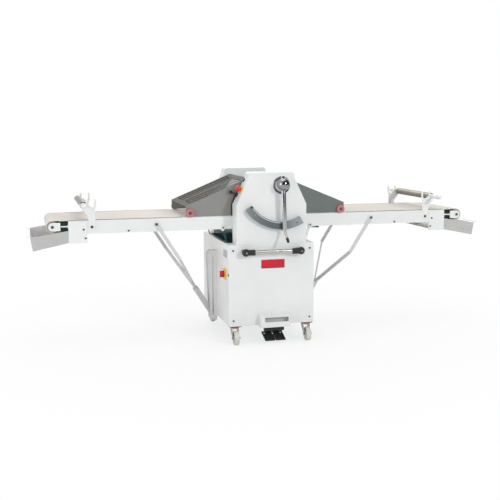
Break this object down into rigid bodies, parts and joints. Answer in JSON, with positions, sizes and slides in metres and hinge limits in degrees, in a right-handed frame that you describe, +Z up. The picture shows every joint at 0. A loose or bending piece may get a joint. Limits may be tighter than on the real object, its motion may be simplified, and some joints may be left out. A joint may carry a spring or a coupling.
{
  "type": "reversible dough sheeter",
  "caption": "Floor-standing reversible dough sheeter: folding belt tables either side of a roll head with gap lever, guards, pedals and casters.",
  "frame": {"origin": "on the floor, under the middle of the overall box", "axes": "+Z up, +X along the tables to the operator's right, +Y from the operator to the back"},
  "size_m": [3.3246, 1.0084, 1.21],
  "materials": {
    "white_paint": "white powder coat, satin",
    "dark_paint": "dark blue-green paint, satin",
    "frame_paint": "grey machine enamel",
    "motor_paint": "dark grey enamel on cast aluminium",
    "scale_grey": "dark grey satin paint",
    "aluminium": "anodised, satin",
    "black_plastic": "matt moulded",
    "black_paint": "black powder coat",
    "yellow_plastic": "smooth",
    "polished_steel": "polished",
    "roll_chrome": "hard chromed and ground",
    "green_plastic": "smooth",
    "red_plastic": "smooth",
    "zinc": "zinc plated",
    "wheel_nylon": "off-white nylon",
    "belt_cloth": "woven conveyor cloth, cream",
    "roller_alloy": "turned",
    "stainless": "brushed stainless",
    "pin_grey": "turned, satin, with white plastic handles",
    "strut_paint": "pale grey powder coat",
    "guard_grey": "grey powder coat",
    "roller_red": "dull red rubber tyre"
  },
  "bodies": {
    "base": {"base_frame": "dark_paint", "front_panel": "white_paint", "rear_panel": "white_paint", "left_panel": "white_paint", "right_panel": "white_paint", "cabinet_lid": "white_paint", "crumb_pan": "dark_paint", "head_frame": "frame_paint", "front_housing": "white_paint", "rear_housing": "white_paint", "drive_motor": "motor_paint", "scale_arc": "scale_grey", "handle_tube": "aluminium", "handle_brackets": "black_plastic", "switch_plate": "yellow_plastic", "stop_collar": "yellow_plastic", "pedal_hood": "white_paint", "pedal_bracket": "black_paint"},
    "lever": {"gap_lever": "polished_steel"},
    "carriage": {"roll_carriage": "frame_paint"},
    "upper_roll": {"upper_roll": "roll_chrome"},
    "lower_roll": {"lower_roll": "roll_chrome"},
    "start_button": {"start_button": "green_plastic"},
    "stop_button": {"stop_button": "red_plastic"},
    "joystick": {"joystick": "black_plastic"},
    "switch_knob": {"switch_knob": "red_plastic"},
    "left_pedal": {"left_pedal": "black_paint"},
    "right_pedal": {"right_pedal": "black_paint"},
    "front_left_swivel": {"front_left_fork": "zinc"},
    "front_left_wheel": {"front_left_wheel": "wheel_nylon"},
    "front_right_swivel": {"front_right_fork": "zinc"},
    "front_right_wheel": {"front_right_wheel": "wheel_nylon"},
    "rear_left_swivel": {"rear_left_fork": "zinc"},
    "rear_left_wheel": {"rear_left_wheel": "wheel_nylon"},
    "rear_right_swivel": {"rear_right_fork": "zinc"},
    "rear_right_wheel": {"rear_right_wheel": "wheel_nylon"},
    "left_table": {"left_table_frame": "white_paint", "left_belt": "belt_cloth", "left_takeups": "white_paint", "left_tray": "stainless", "left_pin_holders": "white_paint"},
    "left_drive_roller": {"left_drive_roller": "roller_alloy"},
    "left_end_roller": {"left_end_roller": "roller_alloy"},
    "left_rolling_pin": {"left_rolling_pin": "pin_grey"},
    "left_strut": {"left_strut": "strut_paint"},
    "left_guard_tube": {"left_guard_tube": "polished_steel"},
    "left_guard": {"left_guard": "guard_grey"},
    "left_guard_rollers": {"left_guard_rollers": "roller_red"},
    "right_table": {"right_table_frame": "white_paint", "right_belt": "belt_cloth", "right_takeups": "white_paint", "right_tray": "stainless", "right_pin_holders": "white_paint"},
    "right_drive_roller": {"right_drive_roller": "roller_alloy"},
    "right_end_roller": {"right_end_roller": "roller_alloy"},
    "right_rolling_pin": {"right_rolling_pin": "pin_grey"},
    "right_strut": {"right_strut": "strut_paint"},
    "right_guard_tube": {"right_guard_tube": "polished_steel"},
    "right_guard": {"right_guard": "guard_grey"},
    "right_guard_rollers": {"right_guard_rollers": "roller_red"}
  },
  "joints": [
    {"name": "lever_turn", "type": "hinge", "parent": "base", "child": "lever", "pos_m": [0.068, 0.0515, 1.128], "axis": [0, 1, 0], "range_deg": [-23, 52]},
    {"name": "carriage_slide", "type": "slide", "parent": "base", "child": "carriage", "axis": [0, 0, 1], "range_m": [-0.0135, 0.0301]},
    {"name": "lower_roll_spin", "type": "hinge", "parent": "base", "child": "lower_roll", "pos_m": [0, 0.0515, 0.8615], "axis": [0, 1, 0], "continuous": true},
    {"name": "upper_roll_spin", "type": "hinge", "parent": "carriage", "child": "upper_roll", "pos_m": [0, 0.0515, 0.9595], "axis": [0, 1, 0], "continuous": true},
    {"name": "start_press", "type": "slide", "parent": "base", "child": "start_button", "axis": [0.903, 0, -0.4296], "range_m": [0, 0.003], "stiffness_N_per_m": 900},
    {"name": "stop_press", "type": "slide", "parent": "base", "child": "stop_button", "axis": [0.903, 0, -0.4296], "range_m": [0, 0.005], "stiffness_N_per_m": 1200},
    {"name": "joystick_tilt", "type": "hinge", "parent": "base", "child": "joystick", "pos_m": [-0.21778, -0.2785, 1.04717], "axis": [0, 1, 0], "range_deg": [-14, 14], "stiffness_Nm_per_rad": 0.6},
    {"name": "switch_turn", "type": "hinge", "parent": "base", "child": "switch_knob", "pos_m": [-0.321, -0.2635, 0.492], "axis": [-1, 0, 0], "range_deg": [0, 90]},
    {"name": "left_pedal_press", "type": "hinge", "parent": "base", "child": "left_pedal", "pos_m": [0, -0.3085, 0.058], "axis": [1, 0, 0], "range_deg": [0, 7], "stiffness_Nm_per_rad": 25, "springref_deg": -6.88},
    {"name": "right_pedal_press", "type": "hinge", "parent": "base", "child": "right_pedal", "pos_m": [0, -0.3085, 0.058], "axis": [1, 0, 0], "range_deg": [0, 7], "stiffness_Nm_per_rad": 25, "springref_deg": -6.88},
    {"name": "front_left_swivel", "type": "hinge", "parent": "base", "child": "front_left_swivel", "pos_m": [-0.264, -0.3385, 0.128], "axis": [0, 0, 1], "continuous": true},
    {"name": "front_left_roll", "type": "hinge", "parent": "front_left_swivel", "child": "front_left_wheel", "pos_m": [-0.264, -0.3835, 0.05], "axis": [1, 0, 0], "continuous": true},
    {"name": "front_right_swivel", "type": "hinge", "parent": "base", "child": "front_right_swivel", "pos_m": [0.264, -0.3385, 0.128], "axis": [0, 0, 1], "continuous": true},
    {"name": "front_right_roll", "type": "hinge", "parent": "front_right_swivel", "child": "front_right_wheel", "pos_m": [0.264, -0.3835, 0.05], "axis": [1, 0, 0], "continuous": true},
    {"name": "rear_left_swivel", "type": "hinge", "parent": "base", "child": "rear_left_swivel", "pos_m": [-0.264, 0.4415, 0.128], "axis": [0, 0, 1], "continuous": true},
    {"name": "rear_left_roll", "type": "hinge", "parent": "rear_left_swivel", "child": "rear_left_wheel", "pos_m": [-0.264, 0.3965, 0.05], "axis": [1, 0, 0], "continuous": true},
    {"name": "rear_right_swivel", "type": "hinge", "parent": "base", "child": "rear_right_swivel", "pos_m": [0.264, 0.4415, 0.128], "axis": [0, 0, 1], "continuous": true},
    {"name": "rear_right_roll", "type": "hinge", "parent": "rear_right_swivel", "child": "rear_right_wheel", "pos_m": [0.264, 0.3965, 0.05], "axis": [1, 0, 0], "continuous": true},
    {"name": "left_fold", "type": "hinge", "parent": "base", "child": "left_table", "pos_m": [-0.323, 0.0515, 0.822], "axis": [0, 1, 0], "range_deg": [0, 58]},
    {"name": "left_strut_turn", "type": "hinge", "parent": "left_table", "child": "left_strut", "pos_m": [-0.793, 0.0515, 0.86], "axis": [0, 1, 0], "range_deg": [-41, 1]},
    {"name": "left_guard_follow", "type": "hinge", "parent": "base", "child": "left_guard_tube", "pos_m": [-0.14, 0.0515, 1.14], "axis": [0, 1, 0], "range_deg": [-1, 62]},
    {"name": "left_guard_lift", "type": "hinge", "parent": "left_guard_tube", "child": "left_guard", "pos_m": [-0.14, 0.0515, 1.14], "axis": [0, 1, 0], "range_deg": [0, 60]},
    {"name": "left_guard_rollers_spin", "type": "hinge", "parent": "left_guard", "child": "left_guard_rollers", "pos_m": [-0.556, 0.0515, 0.9293], "axis": [0, 1, 0], "continuous": true},
    {"name": "left_drive_roller_spin", "type": "hinge", "parent": "left_table", "child": "left_drive_roller", "pos_m": [-0.105, 0.0515, 0.862], "axis": [0, 1, 0], "continuous": true},
    {"name": "left_end_roller_spin", "type": "hinge", "parent": "left_table", "child": "left_end_roller", "pos_m": [-1.492, 0.0515, 0.862], "axis": [0, 1, 0], "continuous": true},
    {"name": "left_pin_lift", "type": "slide", "parent": "left_table", "child": "left_rolling_pin", "axis": [0, 0, 1], "range_m": [0, 0.12]},
    {"name": "right_fold", "type": "hinge", "parent": "base", "child": "right_table", "pos_m": [0.323, 0.0515, 0.822], "axis": [0, -1, 0], "range_deg": [0, 58]},
    {"name": "right_strut_turn", "type": "hinge", "parent": "right_table", "child": "right_strut", "pos_m": [0.793, 0.0515, 0.86], "axis": [0, -1, 0], "range_deg": [-41, 1]},
    {"name": "right_guard_follow", "type": "hinge", "parent": "base", "child": "right_guard_tube", "pos_m": [0.14, 0.0515, 1.14], "axis": [0, -1, 0], "range_deg": [-1, 62]},
    {"name": "right_guard_lift", "type": "hinge", "parent": "right_guard_tube", "child": "right_guard", "pos_m": [0.14, 0.0515, 1.14], "axis": [0, -1, 0], "range_deg": [0, 60]},
    {"name": "right_guard_rollers_spin", "type": "hinge", "parent": "right_guard", "child": "right_guard_rollers", "pos_m": [0.556, 0.0515, 0.9293], "axis": [0, 1, 0], "continuous": true},
    {"name": "right_drive_roller_spin", "type": "hinge", "parent": "right_table", "child": "right_drive_roller", "pos_m": [0.105, 0.0515, 0.862], "axis": [0, 1, 0], "continuous": true},
    {"name": "right_end_roller_spin", "type": "hinge", "parent": "right_table", "child": "right_end_roller", "pos_m": [1.492, 0.0515, 0.862], "axis": [0, 1, 0], "continuous": true},
    {"name": "right_pin_lift", "type": "slide", "parent": "right_table", "child": "right_rolling_pin", "axis": [0, 0, 1], "range_m": [0, 0.12]}
  ],
  "couplings": [
    {"joint": "carriage_slide", "follows": "lever_turn", "m_per_rad": 0.033},
    {"joint": "upper_roll_spin", "follows": "lower_roll_spin", "ratio": -1},
    {"joint": "left_strut_turn", "follows": "left_fold", "ratio": -0.68},
    {"joint": "left_guard_follow", "follows": "left_fold", "ratio": 1.05},
    {"joint": "left_drive_roller_spin", "follows": "lower_roll_spin", "ratio": 1},
    {"joint": "left_end_roller_spin", "follows": "lower_roll_spin", "ratio": 1},
    {"joint": "right_strut_turn", "follows": "right_fold", "ratio": -0.68},
    {"joint": "right_guard_follow", "follows": "right_fold", "ratio": 1.05},
    {"joint": "right_drive_roller_spin", "follows": "lower_roll_spin", "ratio": 1},
    {"joint": "right_end_roller_spin", "follows": "lower_roll_spin", "ratio": 1}
  ]
}
